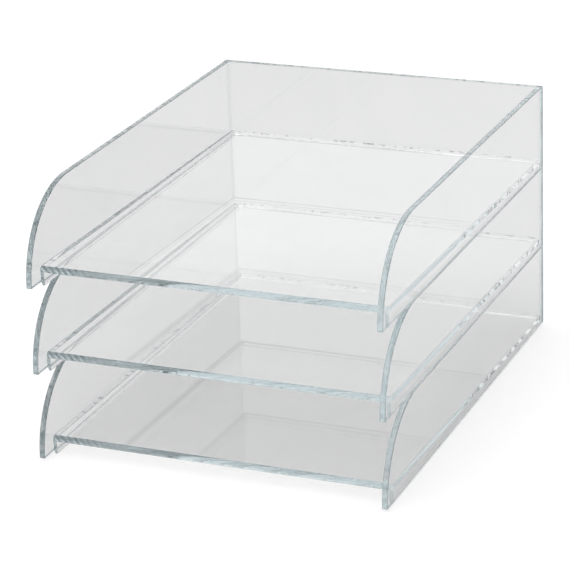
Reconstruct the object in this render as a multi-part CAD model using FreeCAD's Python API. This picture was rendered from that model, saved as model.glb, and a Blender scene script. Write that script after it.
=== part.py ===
# Stack of three clear acrylic letter trays. Each tray is cemented together from flat sheet: a floor that
# slopes down to the back, two side panels with a round front, a back panel, and two runner strips under the
# floor that drop inside the walls of the tray below.
#
# Millimetres. +X is to the right, +Y to the back and +Z up. The origin is on the surface that the stack stands
# on, at the centre of its plan.

import FreeCAD, Part
import os

from FreeCAD import Vector

# One tray, over all
tray_width = 247.0
tray_depth = 328.0
wall_height = 60.5
sheet_thickness = 4.0

# Floor panel: its top surface above the walls' lower edge, and its front edge behind the walls' front
floor_front_height = 11.1
floor_rear_height = 6.5
floor_front_setback = 13.2
floor_edge_radius = 2.5
edge_limit_share = 0.9

# Runner strips: they stand below the walls, and a slant on the outer lower edge lets them into the tray below
runner_thickness = 2.5
runner_drop = 1.8
runner_slant_width = 1.0
runner_side_clearance = 0.25
runner_end_clearance = 0.5

cut_overrun = 1.0
tray_names = ("bottom", "middle", "top")

# Places that several pieces share, on the lowest tray
wall_foot = runner_drop
front = -tray_depth / 2
back_face = tray_depth / 2 - sheet_thickness
side_face = tray_width / 2 - sheet_thickness
floor_front = front + floor_front_setback
floor_front_top = wall_foot + floor_front_height
floor_rear_top = wall_foot + floor_rear_height


def polygon_face(points):
    """Flat face inside a closed row of points."""
    return Part.Face(Part.makePolygon(points + points[:1]))


def floor_panel():
    """Sloping floor between the side panels, with its upper front edge rounded."""
    section = polygon_face([
        Vector(-side_face, floor_front, floor_front_top - sheet_thickness),
        Vector(-side_face, floor_front, floor_front_top),
        Vector(-side_face, back_face, floor_rear_top),
        Vector(-side_face, back_face, floor_rear_top - sheet_thickness),
    ])
    panel = section.extrude(Vector(2 * side_face, 0, 0))
    upper_front = max(panel.Edges, key=lambda edge: edge.CenterOfMass.z - edge.CenterOfMass.y)
    rounding = min(floor_edge_radius, edge_limit_share * sheet_thickness)
    return panel.makeFillet(rounding, [upper_front])


def side_panel():
    """Right side panel: its front edge is a quarter circle as high as the wall."""
    centre = Vector(side_face, front + wall_height, wall_foot)
    lower_front = centre + Vector(0, -1, 0) * wall_height
    arc_middle = centre + Vector(0, -1, 1).normalize() * wall_height
    upper_front = centre + Vector(0, 0, 1) * wall_height
    upper_rear = Vector(side_face, back_face, wall_foot + wall_height)
    lower_rear = Vector(side_face, back_face, wall_foot)
    outline = Part.Wire([
        Part.Arc(lower_front, arc_middle, upper_front).toShape(),
        Part.makeLine(upper_front, upper_rear),
        Part.makeLine(upper_rear, lower_rear),
        Part.makeLine(lower_rear, lower_front),
    ])
    return Part.Face(outline).extrude(Vector(sheet_thickness, 0, 0))


def back_panel():
    """Back panel over the full width, lapping the rear ends of the side panels."""
    corner = Vector(-tray_width / 2, back_face, wall_foot)
    return Part.makeBox(tray_width, sheet_thickness, wall_height, corner)


def runner_strip():
    """Right runner strip, in the corner under the floor, slanted on its outer lower edge."""
    inner_face = side_face - runner_thickness
    runner_rear = back_face - runner_end_clearance
    floor_slope = (floor_rear_top - floor_front_top) / (back_face - floor_front)
    front_top = floor_front_top - sheet_thickness
    rear_top = front_top + floor_slope * (runner_rear - floor_front)
    foot = wall_foot - runner_drop
    strip = polygon_face([
        Vector(inner_face, floor_front, foot),
        Vector(inner_face, floor_front, front_top),
        Vector(inner_face, runner_rear, rear_top),
        Vector(inner_face, runner_rear, foot),
    ]).extrude(Vector(runner_thickness, 0, 0))

    slant_rise = runner_drop / (runner_slant_width - runner_side_clearance)
    slant_top = foot + slant_rise * (runner_slant_width + cut_overrun)
    slant_foot = foot - slant_rise * cut_overrun
    cut_front = floor_front - cut_overrun
    cut_length = runner_rear + cut_overrun - cut_front
    waste = polygon_face([
        Vector(side_face + cut_overrun, cut_front, slant_top),
        Vector(side_face - runner_slant_width - cut_overrun, cut_front, slant_foot),
        Vector(side_face + cut_overrun, cut_front, slant_foot),
    ]).extrude(Vector(0, cut_length, 0))
    return strip.cut(waste)


def left_hand(piece):
    """The same piece on the left of the tray."""
    return piece.mirror(Vector(0, 0, 0), Vector(1, 0, 0))


def tray_pieces():
    """Every piece of the lowest tray under its name."""
    return {
        "floor": floor_panel(),
        "left_side": left_hand(side_panel()),
        "right_side": side_panel(),
        "back": back_panel(),
        "left_runner": left_hand(runner_strip()),
        "right_runner": runner_strip(),
    }


os.makedirs("parts", exist_ok=True)
for level, tray in enumerate(tray_names):
    for piece, shape in tray_pieces().items():
        shape.translate(Vector(0, 0, level * wall_height))
        shape.exportStep(f"parts/{tray}_{piece}.step")
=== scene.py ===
import math

import bmesh
import bpy
from mathutils import Matrix, Vector


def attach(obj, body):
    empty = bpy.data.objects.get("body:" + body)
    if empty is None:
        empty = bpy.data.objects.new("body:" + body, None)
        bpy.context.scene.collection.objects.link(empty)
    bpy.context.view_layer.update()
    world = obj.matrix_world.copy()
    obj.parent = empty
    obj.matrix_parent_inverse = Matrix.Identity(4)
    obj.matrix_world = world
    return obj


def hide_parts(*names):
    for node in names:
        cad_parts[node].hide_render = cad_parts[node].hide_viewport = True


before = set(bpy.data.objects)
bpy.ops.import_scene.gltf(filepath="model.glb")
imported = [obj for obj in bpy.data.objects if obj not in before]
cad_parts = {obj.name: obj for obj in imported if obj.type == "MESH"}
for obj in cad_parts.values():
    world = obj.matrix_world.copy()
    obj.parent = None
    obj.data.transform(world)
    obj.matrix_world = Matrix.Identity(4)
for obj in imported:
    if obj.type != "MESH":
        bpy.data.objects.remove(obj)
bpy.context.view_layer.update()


# Floor panels: 4 mm clear cast acrylic that slopes down to the back, sawn to fit between the side panels
# and cemented to them and to the runners. The upper front edge is rounded by hand, with file strokes at
# its left end. Cement was run along the rear edge too, but it has not taken on the back panel.
tray_names = ("bottom", "middle", "top")
tray_rise = 0.0605
sheet_thickness = 0.004
side_face = 0.1195
back_face = 0.160
runner_side = 0.117
runner_rear = 0.1595
floor_front = -0.1508
floor_front_top = 0.0129
floor_rear_top = 0.0083
nose_radius = 0.0025
nose_rear = floor_front + nose_radius
nose_segments = 16
edge_break = 0.0005
break_segments = 3
joint_gap = 0.00003
floor_slope = (floor_rear_top - floor_front_top) / (back_face - floor_front)
floor_normal = Vector((0, -floor_slope, 1)).normalized()

# How far a face's normal leans to an axis: the flat face alone, or with the broken edges beside it
flat_on = 0.99
square_on = 0.9
same_place = 1e-6
score_snap = 1e-7
flat_face = 0.9998
sharp_angle = math.radians(20)


def push_out(panel, face, depth):
    """Gives a panel of one face its thickness, by the vector depth."""
    pushed = bmesh.ops.extrude_face_region(panel, geom=[face])["geom"]
    moved = [part for part in pushed if isinstance(part, bmesh.types.BMVert)]
    bmesh.ops.translate(panel, verts=moved, vec=depth)
    bmesh.ops.recalc_face_normals(panel, faces=panel.faces)


def cut_sheet(outline, depth):
    """A closed panel: the outline filled with one face and pushed out by the vector depth."""
    panel = bmesh.new()
    face = panel.faces.new([panel.verts.new(point) for point in outline])
    push_out(panel, face, depth)
    return panel


def close_to(value, target):
    """Whether two measures are the same place."""
    return abs(value - target) < same_place


def edges_at(panel, test):
    """The edges with both ends where the test holds."""
    return [edge for edge in panel.edges if all(test(*vert.co) for vert in edge.verts)]


def break_edges(panel, edges, width, segments):
    """Rounds these edges."""
    bmesh.ops.bevel(
        panel, geom=edges, offset=width, offset_type="OFFSET", segments=segments, profile=0.5,
        affect="EDGES", material=-1, clamp_overlap=True,
    )


def score(panel, faces, point, normal):
    """Cuts these faces along a plane, and returns all the faces that they are now."""
    geometry = set(faces)
    for face in faces:
        geometry.update(face.edges, face.verts)
    cut = bmesh.ops.bisect_plane(
        panel, geom=list(geometry), dist=score_snap, plane_co=point, plane_no=normal
    )
    return [part for part in cut["geom"] if isinstance(part, bmesh.types.BMFace)]


def above_plane(point, height_at_front):
    """How far a point is above a plane that runs with the floor, at that height at the floor's front."""
    return point.z - (height_at_front + floor_slope * (point.y - floor_front))


def mark(panel, name, value, test):
    """Writes a named value on the faces where the test holds; the others keep theirs, which starts at 0."""
    layer = panel.faces.layers.float.get(name) or panel.faces.layers.float.new(name)
    for face in panel.faces:
        if test(face.calc_center_median(), face.normal):
            face[layer] = value


def hand_over(panel, tray, piece, material):
    """Turns a panel into the object that stands for its CAD node."""
    for face in panel.faces:
        face.smooth = max(abs(part) for part in face.normal) < flat_face
    for edge in panel.edges:
        edge.smooth = edge.calc_face_angle(0) < sharp_angle
    mesh = bpy.data.meshes.new(f"{tray}_{piece}_panel")
    panel.to_mesh(mesh)
    panel.free()
    mesh.materials.append(material)
    thing = bpy.data.objects.new(f"{tray}_{piece}_panel", mesh)
    bpy.context.scene.collection.objects.link(thing)
    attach(thing, f"{tray}_tray")
    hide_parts(f"{tray}_{piece}")


def add_node(tree, kind, **settings):
    """A node with these settings."""
    node = tree.nodes.new(kind)
    for name, value in settings.items():
        setattr(node, name, value)
    return node


def feed(tree, socket, value):
    """Links another socket to this one, or sets a plain value on it."""
    if isinstance(value, bpy.types.NodeSocket):
        tree.links.new(value, socket)
    else:
        socket.default_value = value


def math_node(tree, operation, *values):
    """The result of a Math node on sockets or plain numbers."""
    node = add_node(tree, "ShaderNodeMath", operation=operation)
    for socket, value in zip(node.inputs, values):
        feed(tree, socket, value)
    return node.outputs["Value"]


def noise_node(tree, place, scale, detail, distortion=0.0):
    """The value of a noise at a place."""
    node = add_node(tree, "ShaderNodeTexNoise")
    feed(tree, node.inputs["Vector"], place)
    feed(tree, node.inputs["Scale"], scale)
    feed(tree, node.inputs["Detail"], detail)
    feed(tree, node.inputs["Distortion"], distortion)
    return node.outputs["Fac"]


def ramp_node(tree, value, low, high, at_low=0.0, at_high=1.0, kind="SMOOTHSTEP"):
    """Runs from at_low to at_high while the value goes from low to high."""
    node = add_node(tree, "ShaderNodeMapRange", interpolation_type=kind)
    feed(tree, node.inputs["Value"], value)
    feed(tree, node.inputs["From Min"], low)
    feed(tree, node.inputs["From Max"], high)
    feed(tree, node.inputs["To Min"], at_low)
    feed(tree, node.inputs["To Max"], at_high)
    return node.outputs["Result"]


def mix_node(tree, kind, share, first, second):
    """A mix of two values, RGBA or FLOAT, by this share of the second."""
    node = add_node(tree, "ShaderNodeMix", data_type=kind)
    feed(tree, node.inputs["Factor"], share)
    feed(tree, node.inputs["A"], first)
    feed(tree, node.inputs["B"], second)
    return node.outputs["Result"]


def new_group(name, inputs, outputs):
    """An empty node group with a Vector input and these number inputs and outputs."""
    group = bpy.data.node_groups.new(name, "ShaderNodeTree")
    group.interface.new_socket("Vector", in_out="INPUT", socket_type="NodeSocketVector")
    for entry in inputs:
        group.interface.new_socket(entry, in_out="INPUT", socket_type="NodeSocketFloat")
    for output in outputs:
        group.interface.new_socket(output, in_out="OUTPUT", socket_type="NodeSocketFloat")
    return group, add_node(group, "NodeGroupInput"), add_node(group, "NodeGroupOutput")


# What saw and file leave on a cut edge: fine lines in patches, nicks, and slanting strokes
stroke_depth = 0.6
nick_depth = 1.5
saw_marks, inlet, outlet = new_group(
    "saw_marks", ("Filing", "Sawing"), ("Height", "Dulling", "Streak", "Nick")
)
place = inlet.outputs["Vector"]
sawing = inlet.outputs["Sawing"]
fine = noise_node(saw_marks, place, scale=1.0, detail=2.0)
patches = noise_node(saw_marks, place, scale=0.08, detail=1.0)
knocks = noise_node(saw_marks, place, scale=0.55, detail=1.0)
strokes = add_node(saw_marks, "ShaderNodeTexWave", wave_type="BANDS", bands_direction="DIAGONAL")
feed(saw_marks, strokes.inputs["Vector"], place)
feed(saw_marks, strokes.inputs["Scale"], 0.7)
feed(saw_marks, strokes.inputs["Distortion"], 1.5)
feed(saw_marks, strokes.inputs["Detail"], 1.0)
feed(saw_marks, strokes.inputs["Detail Scale"], 0.3)
patch = ramp_node(saw_marks, patches, low=0.44, high=0.70, kind="LINEAR")
sawn = math_node(saw_marks, "MULTIPLY", patch, sawing)
nicks = math_node(saw_marks, "MULTIPLY", ramp_node(saw_marks, knocks, low=0.60, high=0.70), sawing)
groove = ramp_node(saw_marks, strokes.outputs["Fac"], low=0.35, high=0.75)
filed = math_node(saw_marks, "MULTIPLY", groove, inlet.outputs["Filing"])
lines = math_node(saw_marks, "MULTIPLY", fine, sawn)
lines = math_node(saw_marks, "MULTIPLY_ADD", filed, -stroke_depth, lines)
height = math_node(saw_marks, "MULTIPLY_ADD", nicks, -nick_depth, lines)
streak = math_node(saw_marks, "MULTIPLY", ramp_node(saw_marks, fine, low=0.46, high=0.60), sawn)
feed(saw_marks, outlet.inputs["Height"], height)
feed(saw_marks, outlet.inputs["Dulling"], sawn)
feed(saw_marks, outlet.inputs["Streak"], streak)
feed(saw_marks, outlet.inputs["Nick"], math_node(saw_marks, "MAXIMUM", nicks, filed))

# Voids in a cemented joint: cells that open where a slower noise and the amount let them
void_bias = -0.80
void_swing = 1.6
cement_voids, inlet, outlet = new_group("cement_voids", ("Amount",), ("Open", "Height"))
place = inlet.outputs["Vector"]
cells = add_node(cement_voids, "ShaderNodeTexVoronoi", feature="F1")
feed(cement_voids, cells.inputs["Vector"], place)
feed(cement_voids, cells.inputs["Scale"], 250.0)
runs = noise_node(cement_voids, place, scale=80.0, detail=4.0)
ripples = noise_node(cement_voids, place, scale=330.0, detail=2.0)
spread = math_node(cement_voids, "ADD", inlet.outputs["Amount"], void_bias)
limit = math_node(cement_voids, "MULTIPLY_ADD", runs, void_swing, spread)
void = math_node(cement_voids, "LESS_THAN", cells.outputs["Distance"], limit)
feed(cement_voids, outlet.inputs["Open"], void)
feed(cement_voids, outlet.inputs["Height"], ripples)

# What wiping leaves on the faces
wiped_film, inlet, outlet = new_group("wiped_film", (), ("Film",))
smears = noise_node(wiped_film, inlet.outputs["Vector"], scale=14.0, detail=4.0, distortion=1.2)
feed(wiped_film, outlet.inputs["Film"], ramp_node(wiped_film, smears, low=0.40, high=0.68))

acrylic_ior = 1.49
body_colour = (0.615, 0.75, 0.785, 1.0)
body_density = 2.6
clean_colour = (1.0, 1.0, 1.0, 1.0)
film_colour = (0.984, 0.986, 0.986, 1.0)
edge_colour = (0.95, 0.97, 0.975, 1.0)
nick_colour = (0.26, 0.30, 0.32, 1.0)
# Grey of the broken edges: wear on most, painted shade on the left front edges and feet of the side panels
wear_and_shade_grey = (0.30, 0.34, 0.35, 1.0)
stain_colour = (0.40, 0.41, 0.42, 1.0)
least_edge = 0.1
edge_roughness = 0.15
saw_roughness = 0.20
void_roughness = 0.55
bump_strength = 0.35
bump_distance = 0.0003
saw_relief = 3.0
ripple_relief = 30.0
least_arris_share = 0.5
saw_arris_share = 0.5
stain_height = 0.65


def clear_acrylic(name, mark_scale, mark_colour, arris_colour, mark_turn=(0, 0, 0), filed_end=None):
    """Clear acrylic that takes up a little light along its length, is dull on its sawn edges, and lets light
    straight through a cemented face except at the voids. File strokes fade out along X over filed_end."""
    material = bpy.data.materials.new(name)
    material.use_nodes = True
    tree = material.node_tree
    shader = tree.nodes["Principled BSDF"]
    shader.inputs["IOR"].default_value = acrylic_ior
    shader.inputs["Transmission Weight"].default_value = 1.0
    place = add_node(tree, "ShaderNodeTexCoord").outputs["Object"]
    edge, arris, cement, voids, polish = [
        add_node(tree, "ShaderNodeAttribute", attribute_name=mark_name).outputs["Fac"]
        for mark_name in ("edge", "arris", "cement", "voids", "polish")
    ]
    cut = math_node(tree, "GREATER_THAN", edge, least_edge)

    along = add_node(tree, "ShaderNodeMapping")
    feed(tree, along.inputs["Vector"], place)
    feed(tree, along.inputs["Scale"], mark_scale)
    feed(tree, along.inputs["Rotation"], mark_turn)
    marks = add_node(tree, "ShaderNodeGroup", node_tree=saw_marks)
    feed(tree, marks.inputs["Vector"], along.outputs["Vector"])
    feed(tree, marks.inputs["Sawing"], math_node(tree, "SUBTRACT", 1.0, polish))
    if filed_end:
        split = add_node(tree, "ShaderNodeSeparateXYZ")
        feed(tree, split.inputs["Vector"], place)
        filing = ramp_node(tree, split.outputs["X"], low=filed_end[1], high=filed_end[0], kind="LINEAR")
        feed(tree, marks.inputs["Filing"], filing)
    bubbles = add_node(tree, "ShaderNodeGroup", node_tree=cement_voids)
    feed(tree, bubbles.inputs["Vector"], place)
    feed(tree, bubbles.inputs["Amount"], voids)
    wipe = add_node(tree, "ShaderNodeGroup", node_tree=wiped_film)
    feed(tree, wipe.inputs["Vector"], place)

    roughness = math_node(tree, "MULTIPLY_ADD", marks.outputs["Dulling"], saw_roughness, edge_roughness)
    roughness = math_node(tree, "MULTIPLY", roughness, edge)
    roughness = math_node(tree, "MULTIPLY_ADD", cement, void_roughness, roughness)
    feed(tree, shader.inputs["Roughness"], roughness)

    ripple = math_node(tree, "MULTIPLY", bubbles.outputs["Height"], cement)
    saw = math_node(tree, "MULTIPLY", marks.outputs["Height"], math_node(tree, "MULTIPLY", cut, saw_relief))
    bump = add_node(tree, "ShaderNodeBump")
    feed(tree, bump.inputs["Strength"], bump_strength)
    feed(tree, bump.inputs["Distance"], bump_distance)
    feed(tree, bump.inputs["Height"], math_node(tree, "MULTIPLY_ADD", ripple, ripple_relief, saw))
    feed(tree, shader.inputs["Normal"], bump.outputs["Normal"])

    streaks = mix_node(tree, "RGBA", marks.outputs["Streak"], edge_colour, mark_colour)
    nicked = mix_node(tree, "RGBA", marks.outputs["Nick"], streaks, nick_colour)
    faces = mix_node(tree, "RGBA", wipe.outputs["Film"], clean_colour, film_colour)
    tint = mix_node(tree, "RGBA", cut, faces, nicked)
    # The broken edges take the given edge colour by the arris mark: wear on most, painted shade where the
    # side panels mark it
    arris_share = math_node(tree, "MULTIPLY_ADD", marks.outputs["Dulling"], saw_arris_share, least_arris_share)
    arris_tinted = mix_node(tree, "RGBA", math_node(tree, "MULTIPLY", arris_share, arris), tint, arris_colour)
    stain = math_node(tree, "GREATER_THAN", ripple, stain_height)
    feed(tree, shader.inputs["Base Color"], mix_node(tree, "RGBA", stain, arris_tinted, stain_colour))

    filled = math_node(tree, "SUBTRACT", 1.0, bubbles.outputs["Open"])
    joined = math_node(tree, "MULTIPLY", cement, filled)
    feed(tree, shader.inputs["Alpha"], math_node(tree, "SUBTRACT", 1.0, joined))

    body = add_node(tree, "ShaderNodeVolumeAbsorption")
    feed(tree, body.inputs["Color"], body_colour)
    feed(tree, body.inputs["Density"], body_density)
    feed(tree, tree.nodes["Material Output"].inputs["Volume"], body.outputs["Volume"])
    return material


joint_voids = -0.1
rear_voids = 0.38
nose_dullness = 0.4
front_dullness = 0.2
nose_polish = 0.8
acrylic_floor = clear_acrylic(
    "acrylic_floor", mark_scale=(520, 120, 130), mark_colour=(0.50, 0.58, 0.60, 1.0), arris_colour=wear_and_shade_grey,
    mark_turn=(0, math.radians(30), 0), filed_end=(-0.096, -0.060),
)

for level, tray in enumerate(tray_names):
    lift = level * tray_rise
    half_width = side_face - joint_gap
    rear = back_face - joint_gap
    front_top = floor_front_top + lift
    front_foot = front_top - sheet_thickness
    rear_top = floor_front_top + floor_slope * (rear - floor_front) + lift
    floor = cut_sheet(
        [
            (-half_width, floor_front, front_foot),
            (-half_width, floor_front, front_top),
            (-half_width, rear, rear_top),
            (-half_width, rear, rear_top - sheet_thickness),
        ],
        (2 * half_width, 0, 0),
    )
    nose = edges_at(floor, lambda x, y, z: close_to(y, floor_front) and close_to(z, front_top))
    break_edges(floor, nose, nose_radius, nose_segments)
    lower_front = edges_at(floor, lambda x, y, z: close_to(y, floor_front) and close_to(z, front_foot))
    break_edges(floor, lower_front, edge_break, break_segments)
    ends = [face for face in floor.faces if abs(face.normal.x) > square_on]
    score(floor, ends, (0, nose_rear, 0), (0, 1, 0))
    underside = [face for face in floor.faces if face.normal.z < -square_on]
    for point, normal in (
        ((runner_side, 0, 0), (1, 0, 0)),
        ((-runner_side, 0, 0), (1, 0, 0)),
        ((0, runner_rear, 0), (0, 1, 0)),
    ):
        underside = score(floor, underside, point, normal)

    def cemented(centre, normal):
        """The faces that meet a runner, a side panel or the back panel."""
        on_runner = normal.z < -square_on and abs(centre.x) > runner_side and centre.y < runner_rear
        on_side = abs(normal.x) > square_on and centre.y > nose_rear
        return on_runner or on_side or normal.y > square_on

    def on_nose(centre, normal):
        """The front edge with its rounding, without its ends."""
        return centre.y < nose_rear and abs(normal.x) < square_on

    mark(floor, "cement", 1.0, cemented)
    mark(floor, "voids", joint_voids, cemented)
    mark(floor, "voids", rear_voids, lambda centre, normal: normal.y > square_on)
    mark(floor, "edge", nose_dullness, on_nose)
    mark(floor, "edge", front_dullness, lambda centre, normal: normal.y < -flat_on)
    mark(floor, "polish", nose_polish, lambda centre, normal: centre.y < nose_rear)
    hand_over(floor, tray, "floor", acrylic_floor)


# Side panels: the same 4 mm sheet, cut with a quarter-round front and polished along the edges. They stand
# on the walls of the tray below without cement; the floor and a runner are cemented to the inner face. The
# left front edges are painted darker as shade, most on the bottom tray, and the right ones kept smoother,
# with fewer dark streaks, which paints them lighter as the lit side, to match the photograph. The broken
# edges along the feet are painted darker as shade where each wall stands.
side_foot = 0.0018
side_height = 0.0605
side_front = -0.164
runner_slant_top = 0.0024
stack_gap = 0.00006
arc_steps = 72
arris_from = 0.2
arris_to = 0.98
downward = -0.1
edge_dullness = 0.35
end_voids = -0.5
rim_wear = 1.0
# Painted shade: the broken edges along the feet darker where each wall stands on the floor or the wall below
foot_painted_shade = 2.0
# Right front edges: fewer saw streaks and nicks, so smoother and also painted lighter as the lit side
right_front_polish_and_painted_light = 0.5
# Painted shade on the left front edges, darkest on the bottom tray
left_front_painted_shade = {"bottom": 0.8, "middle": 0.45, "top": 0.25}
acrylic_side = clear_acrylic(
    "acrylic_side", mark_scale=(120, 420, 420), mark_colour=(0.55, 0.60, 0.62, 1.0), arris_colour=wear_and_shade_grey,
)


def wall_heights(level, tray):
    """The foot and the top of a tray's walls, with a hair's breadth left between stacked walls."""
    lift = level * tray_rise
    low = side_foot + lift + (stack_gap if level else 0)
    high = side_foot + side_height + lift - (stack_gap if tray != "top" else 0)
    return low, high


def on_arris(part):
    """Whether a face whose normal has this part across the sheet belongs to a broken edge."""
    return arris_from < abs(part) < arris_to


for level, tray in enumerate(tray_names):
    for hand, sign in (("left", -1), ("right", 1)):
        lift = level * tray_rise
        low, high = wall_heights(level, tray)
        rear = back_face - joint_gap
        inner = sign * side_face
        floor_top = floor_front_top + lift
        floor_foot = floor_front_top - sheet_thickness + lift
        slant_top = runner_slant_top + lift
        side = bmesh.new()
        lower_front = side.verts.new((inner, side_front, low))
        arc_centre = (inner, side_front + high - low, low)
        bmesh.ops.spin(
            side, geom=[lower_front], cent=arc_centre, axis=(1, 0, 0), dvec=(0, 0, 0), angle=-math.pi / 2,
            steps=arc_steps, use_duplicate=False,
        )
        upper_front = max(side.verts, key=lambda vert: vert.co.z)
        upper_rear = side.verts.new((inner, rear, high))
        lower_rear = side.verts.new((inner, rear, low))
        for start, end in ((upper_front, upper_rear), (upper_rear, lower_rear), (lower_rear, lower_front)):
            side.edges.new((start, end))
        outline = bmesh.ops.contextual_create(side, geom=side.edges[:])["faces"][0]
        push_out(side, outline, (sign * sheet_thickness, 0, 0))
        rims = [
            edge for edge in side.edges
            if close_to(edge.verts[0].co.x, edge.verts[1].co.x)
            and not all(close_to(vert.co.y, rear) for vert in edge.verts)
        ]
        rims += edges_at(side, lambda x, y, z: close_to(y, side_front) and close_to(z, low))
        break_edges(side, rims, edge_break, break_segments)

        inside = [face for face in side.faces if face.normal.x * sign < -flat_on]
        for point, normal in (
            ((0, floor_front, floor_top), floor_normal),
            ((0, floor_front, floor_foot), floor_normal),
            ((0, 0, slant_top), (0, 0, 1)),
            ((0, floor_front, 0), (0, 1, 0)),
            ((0, nose_rear, 0), (0, 1, 0)),
            ((0, runner_rear, 0), (0, 1, 0)),
        ):
            inside = score(side, inside, point, normal)

        def cemented(centre, normal):
            """The rear end, and what the floor's end and the runner cover on the inner face."""
            if normal.y > square_on:
                return True
            if normal.x * sign > -flat_on or centre.z < slant_top:
                return False
            if above_plane(centre, floor_top) > 0:
                return False
            if above_plane(centre, floor_foot) > 0:
                return centre.y > nose_rear
            return floor_front < centre.y < runner_rear

        # The feet take painted shade where each wall stands
        def shaded_foot(centre, normal):
            """The broken edges along the foot."""
            return on_arris(normal.x) and normal.z < downward

        def cut_edge(centre, normal):
            """The polished edges all round, without the rear end."""
            return abs(normal.x) < arris_from and normal.y < square_on

        mark(side, "cement", 1.0, cemented)
        mark(side, "voids", joint_voids, cemented)
        mark(side, "voids", end_voids, lambda centre, normal: normal.y > square_on)
        mark(side, "arris", rim_wear, lambda centre, normal: on_arris(normal.x))
        mark(side, "arris", foot_painted_shade, shaded_foot)
        mark(side, "edge", edge_dullness, cut_edge)
        if hand == "right":
            # Smoother right front edges, with fewer dark streaks, which paints them lighter as the lit side
            mark(
                side, "polish", right_front_polish_and_painted_light,
                lambda centre, normal: cut_edge(centre, normal) and normal.y < 0,
            )
        else:
            # Painted shade: the left front edges darker, most on the bottom tray
            mark(
                side, "arris", left_front_painted_shade[tray],
                lambda centre, normal: cut_edge(centre, normal) and normal.y < -arris_from,
            )
        hand_over(side, tray, f"{hand}_side", acrylic_side)


# Back panels: straight pieces of the same 4 mm sheet over the full width. They lap the sawn rear ends of
# the side panels, where clear cement holds them. Their right ends are tinted dark to match the photograph.
tray_half_width = 0.1235
tray_rear = 0.164
back_rim_wear = 0.55
left_end_wear = 0.1
# The right ends are darkened
right_end_darkening = 1.7
end_dullness = 0.08
dark_end_grey = (0.12, 0.15, 0.16, 1.0)
acrylic_back = clear_acrylic(
    "acrylic_back", mark_scale=(420, 120, 60), mark_colour=(0.66, 0.71, 0.73, 1.0), arris_colour=dark_end_grey,
)

for level, tray in enumerate(tray_names):
    low, high = wall_heights(level, tray)
    back = cut_sheet(
        [
            (-tray_half_width, back_face, low),
            (tray_half_width, back_face, low),
            (tray_half_width, back_face, high),
            (-tray_half_width, back_face, high),
        ],
        (0, tray_rear - back_face, 0),
    )
    rims = edges_at(back, lambda x, y, z: close_to(y, tray_rear))
    rims += [
        edge for edge in edges_at(back, lambda x, y, z: close_to(y, back_face))
        if close_to(edge.verts[0].co.z, edge.verts[1].co.z)
    ]
    break_edges(back, rims, edge_break, break_segments)
    front = [face for face in back.faces if face.normal.y < -flat_on]
    for x in (side_face, -side_face):
        front = score(back, front, (x, 0, 0), (1, 0, 0))

    def cemented(centre, normal):
        """The strips of the front face that lap the side panels."""
        return normal.y <= -flat_on and abs(centre.x) > side_face

    mark(back, "cement", 1.0, cemented)
    mark(back, "voids", end_voids, cemented)
    mark(back, "arris", back_rim_wear, lambda centre, normal: on_arris(normal.y))
    mark(back, "arris", left_end_wear, lambda centre, normal: normal.x < -square_on)
    mark(back, "arris", right_end_darkening, lambda centre, normal: normal.x > square_on)
    mark(back, "edge", edge_dullness, lambda centre, normal: normal.z > square_on)
    mark(
        back, "edge", end_dullness,
        lambda centre, normal: abs(normal.x) > square_on or normal.z < -square_on,
    )
    hand_over(back, tray, "back", acrylic_back)


# Runner strips: 2.5 mm clear acrylic, cemented into the corner under each side of a floor. They stand a
# little below the wall, and a slant planed on the outer lower edge lets them drop between the walls of the
# tray below.
runner_slant_foot = 0.1185
runner_break = 0.0002
runner_break_segments = 2
runner_dullness = 0.6
runner_front_wear = 0.9
acrylic_strip = clear_acrylic(
    "acrylic_strip", mark_scale=(500, 200, 700), mark_colour=(0.66, 0.71, 0.73, 1.0), arris_colour=wear_and_shade_grey,
)

for level, tray in enumerate(tray_names):
    for hand, sign in (("left", -1), ("right", 1)):
        foot = level * tray_rise
        outer = side_face - joint_gap
        top_front = floor_front_top - sheet_thickness - joint_gap + foot
        top_rear = top_front + floor_slope * (runner_rear - floor_front)
        runner = cut_sheet(
            [
                (sign * runner_side, floor_front, foot),
                (sign * runner_slant_foot, floor_front, foot),
                (sign * outer, floor_front, runner_slant_top + foot),
                (sign * outer, floor_front, top_front),
                (sign * runner_side, floor_front, top_front),
            ],
            (0, runner_rear - floor_front, 0),
        )
        for vert in runner.verts:
            if close_to(vert.co.y, runner_rear) and close_to(vert.co.z, top_front):
                vert.co.z = top_rear
        foot_edges = [
            edge for edge in edges_at(runner, lambda x, y, z: close_to(z, foot))
            if not close_to(edge.verts[0].co.y, edge.verts[1].co.y)
        ]
        break_edges(runner, foot_edges, runner_break, runner_break_segments)

        def cemented(centre, normal):
            """The faces that meet the floor and the side panel."""
            return normal.z > square_on or normal.x * sign > flat_on

        mark(runner, "cement", 1.0, cemented)
        mark(runner, "voids", joint_voids, cemented)
        mark(runner, "arris", runner_front_wear, lambda centre, normal: normal.y < -square_on)
        mark(
            runner, "edge", runner_dullness,
            lambda centre, normal: abs(normal.x) < square_on and normal.z < square_on,
        )
        hand_over(runner, tray, f"{hand}_runner", acrylic_strip)


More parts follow.
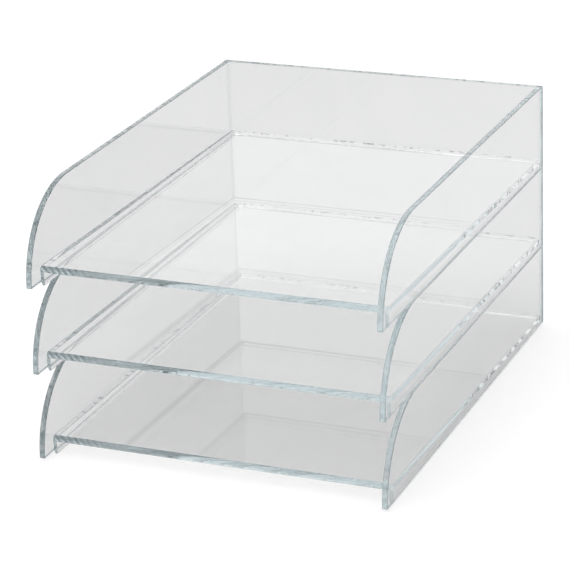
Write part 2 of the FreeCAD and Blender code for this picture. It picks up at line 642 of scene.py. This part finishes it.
# Stage: a pale studio floor under the stack, one soft lamp above it, and a pale room that is dimmer on the
# right and dark in the far right upper corner. The camera stands where the photograph was taken from.
floor_half = 6.0
floor_grey = (0.38, 0.38, 0.38, 1.0)
white = (1.0, 1.0, 1.0, 1.0)
fill_in_glass = 0.43
fill_in_view = 0.72
stage = bmesh.new()
bmesh.ops.create_grid(stage, x_segments=1, y_segments=1, size=floor_half)
stage_mesh = bpy.data.meshes.new("studio_floor")
stage.to_mesh(stage_mesh)
stage.free()
studio_board = bpy.data.materials.new("studio_board")
studio_board.use_nodes = True
tree = studio_board.node_tree
shader = tree.nodes["Principled BSDF"]
shader.inputs["Base Color"].default_value = floor_grey
shader.inputs["Roughness"].default_value = 1.0
shader.inputs["Specular IOR Level"].default_value = 0.0
shader.inputs["Emission Color"].default_value = white
path = add_node(tree, "ShaderNodeLightPath")
fill = math_node(tree, "MULTIPLY", path.outputs["Is Glossy Ray"], fill_in_glass)
fill = math_node(tree, "MULTIPLY_ADD", path.outputs["Is Camera Ray"], fill_in_view, fill)
feed(tree, shader.inputs["Emission Strength"], fill)
stage_mesh.materials.append(studio_board)
studio_floor = bpy.data.objects.new("studio_floor", stage_mesh)
bpy.context.scene.collection.objects.link(studio_floor)

dim_side = 0.45
dark_corner = 0.15
corner_direction = (0.37, 0.60, 0.71)
world = bpy.data.worlds.new("studio")
bpy.context.scene.world = world
world.use_nodes = True
tree = world.node_tree
background = tree.nodes["Background"]
background.inputs["Color"].default_value = white
path = add_node(tree, "ShaderNodeLightPath")
direction = add_node(tree, "ShaderNodeTexCoord").outputs["Generated"]
split = add_node(tree, "ShaderNodeSeparateXYZ")
feed(tree, split.inputs["Vector"], direction)
room = ramp_node(tree, split.outputs["X"], low=-0.2, high=0.4, at_low=1.0, at_high=dim_side, kind="LINEAR")
toward = add_node(tree, "ShaderNodeVectorMath", operation="DOT_PRODUCT")
feed(tree, toward.inputs[0], direction)
feed(tree, toward.inputs[1], corner_direction)
corner = ramp_node(tree, toward.outputs["Value"], low=0.78, high=0.98, at_low=1.0, at_high=dark_corner)
dimmed = math_node(tree, "MULTIPLY", room, corner)
seen = mix_node(tree, "FLOAT", path.outputs["Is Camera Ray"], dimmed, 1.0)
feed(tree, background.inputs["Strength"], seen)

lamp = bpy.data.lights.new("softbox", "AREA")
lamp.shape = "SQUARE"
lamp.size = 1.6
lamp.energy = 16.0
softbox = bpy.data.objects.new("softbox", lamp)
softbox.location = (0.2, -0.1, 1.9)
bpy.context.scene.collection.objects.link(softbox)

azimuth = math.radians(23.44)
elevation = math.radians(21.419)
roll = math.radians(-2.303)
aim = Vector((-0.007015, -0.011134, 0.08153))
distance = 1.782257
focal_pixels = 2591.579
photo_pixels = 570
sensor_width = 36.0
away = Vector((
    math.sin(azimuth) * math.cos(elevation), -math.cos(azimuth) * math.cos(elevation), math.sin(elevation)
))
level_right = Vector((math.cos(azimuth), math.sin(azimuth), 0))
level_up = away.cross(level_right)
right = math.cos(roll) * level_right + math.sin(roll) * level_up
up = -math.sin(roll) * level_right + math.cos(roll) * level_up
lens = bpy.data.cameras.new("camera")
lens.sensor_width = sensor_width
lens.lens = focal_pixels * sensor_width / photo_pixels
camera = bpy.data.objects.new("camera", lens)
spot = aim + away * distance
camera.matrix_world = Matrix((
    (right.x, up.x, away.x, spot.x),
    (right.y, up.y, away.y, spot.y),
    (right.z, up.z, away.z, spot.z),
    (0, 0, 0, 1),
))
bpy.context.scene.collection.objects.link(camera)
bpy.context.scene.camera = camera

glass_bounces = 96
joint_crossings = 64
scene = bpy.context.scene
scene.view_settings.view_transform = "Standard"
scene.cycles.max_bounces = glass_bounces
scene.cycles.transmission_bounces = glass_bounces
scene.cycles.glossy_bounces = glass_bounces
scene.cycles.transparent_max_bounces = joint_crossings
